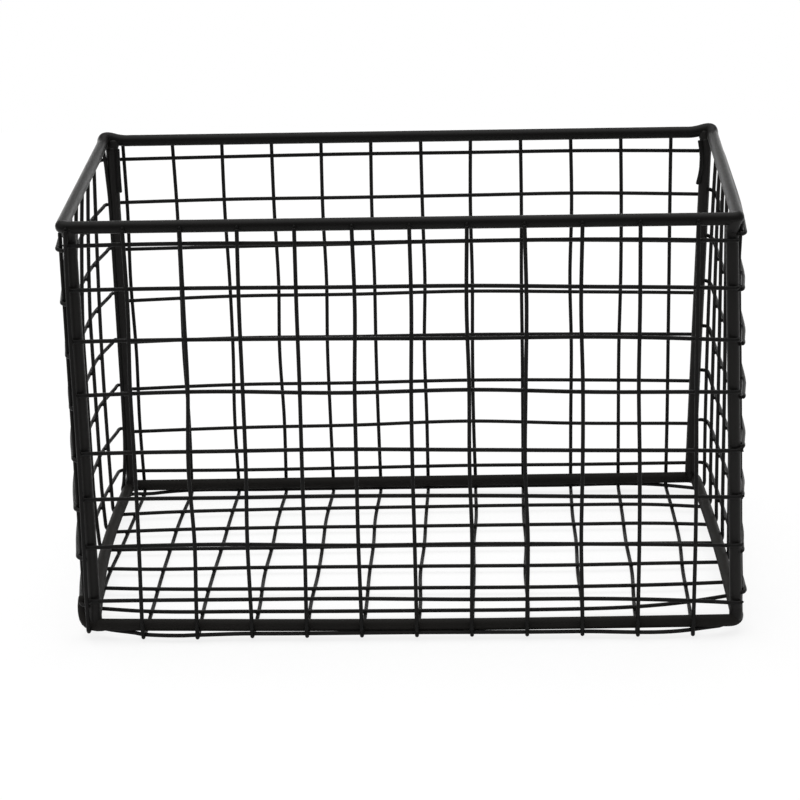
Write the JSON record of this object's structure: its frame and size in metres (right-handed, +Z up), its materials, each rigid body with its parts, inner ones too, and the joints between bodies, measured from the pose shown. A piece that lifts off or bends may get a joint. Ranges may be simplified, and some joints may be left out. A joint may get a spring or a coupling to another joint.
{
  "type": "wire wall rack tray",
  "caption": "Open wire basket tray: welded square mesh folded up round a rod frame of two bent rings and corner posts, matt black.",
  "frame": {"origin": "middle of the underside of the whole basket's box, on the surface it stands on", "axes": "+X along the width to the right, -Y to the front, +Z up"},
  "size_m": [0.323, 0.2004, 0.2013],
  "materials": {
    "rod_coat": "matt black powder coat",
    "wire_coat": "matt black powder coat"
  },
  "bodies": {
    "root": {"back_left_post": "rod_coat", "back_left_tie": "wire_coat", "back_level_wire_1": "wire_coat", "back_level_wire_2": "wire_coat", "back_level_wire_3": "wire_coat", "back_level_wire_4": "wire_coat", "back_level_wire_5": "wire_coat", "back_level_wire_6": "wire_coat", "back_level_wire_7": "wire_coat", "back_level_wire_8": "wire_coat", "back_right_post": "rod_coat", "back_right_tie": "wire_coat", "bottom_ring": "rod_coat", "cross_wire_1": "wire_coat", "cross_wire_2": "wire_coat", "cross_wire_3": "wire_coat", "cross_wire_4": "wire_coat", "cross_wire_5": "wire_coat", "cross_wire_6": "wire_coat", "cross_wire_7": "wire_coat", "cross_wire_8": "wire_coat", "front_left_post": "rod_coat", "front_level_wire_1": "wire_coat", "front_level_wire_2": "wire_coat", "front_level_wire_3": "wire_coat", "front_level_wire_4": "wire_coat", "front_level_wire_5": "wire_coat", "front_level_wire_6": "wire_coat", "front_level_wire_7": "wire_coat", "front_level_wire_8": "wire_coat", "front_right_post": "rod_coat", "left_level_wire_1": "wire_coat", "left_level_wire_2": "wire_coat", "left_level_wire_3": "wire_coat", "left_level_wire_4": "wire_coat", "left_level_wire_5": "wire_coat", "left_level_wire_6": "wire_coat", "left_level_wire_7": "wire_coat", "left_level_wire_8": "wire_coat", "long_wire_01": "wire_coat", "long_wire_02": "wire_coat", "long_wire_03": "wire_coat", "long_wire_04": "wire_coat", "long_wire_05": "wire_coat", "long_wire_06": "wire_coat", "long_wire_07": "wire_coat", "long_wire_08": "wire_coat", "long_wire_09": "wire_coat", "long_wire_10": "wire_coat", "long_wire_11": "wire_coat", "long_wire_12": "wire_coat", "right_level_wire_1": "wire_coat", "right_level_wire_2": "wire_coat", "right_level_wire_3": "wire_coat", "right_level_wire_4": "wire_coat", "right_level_wire_5": "wire_coat", "right_level_wire_6": "wire_coat", "right_level_wire_7": "wire_coat", "right_level_wire_8": "wire_coat", "top_ring": "rod_coat"}
  },
  "joints": []
}
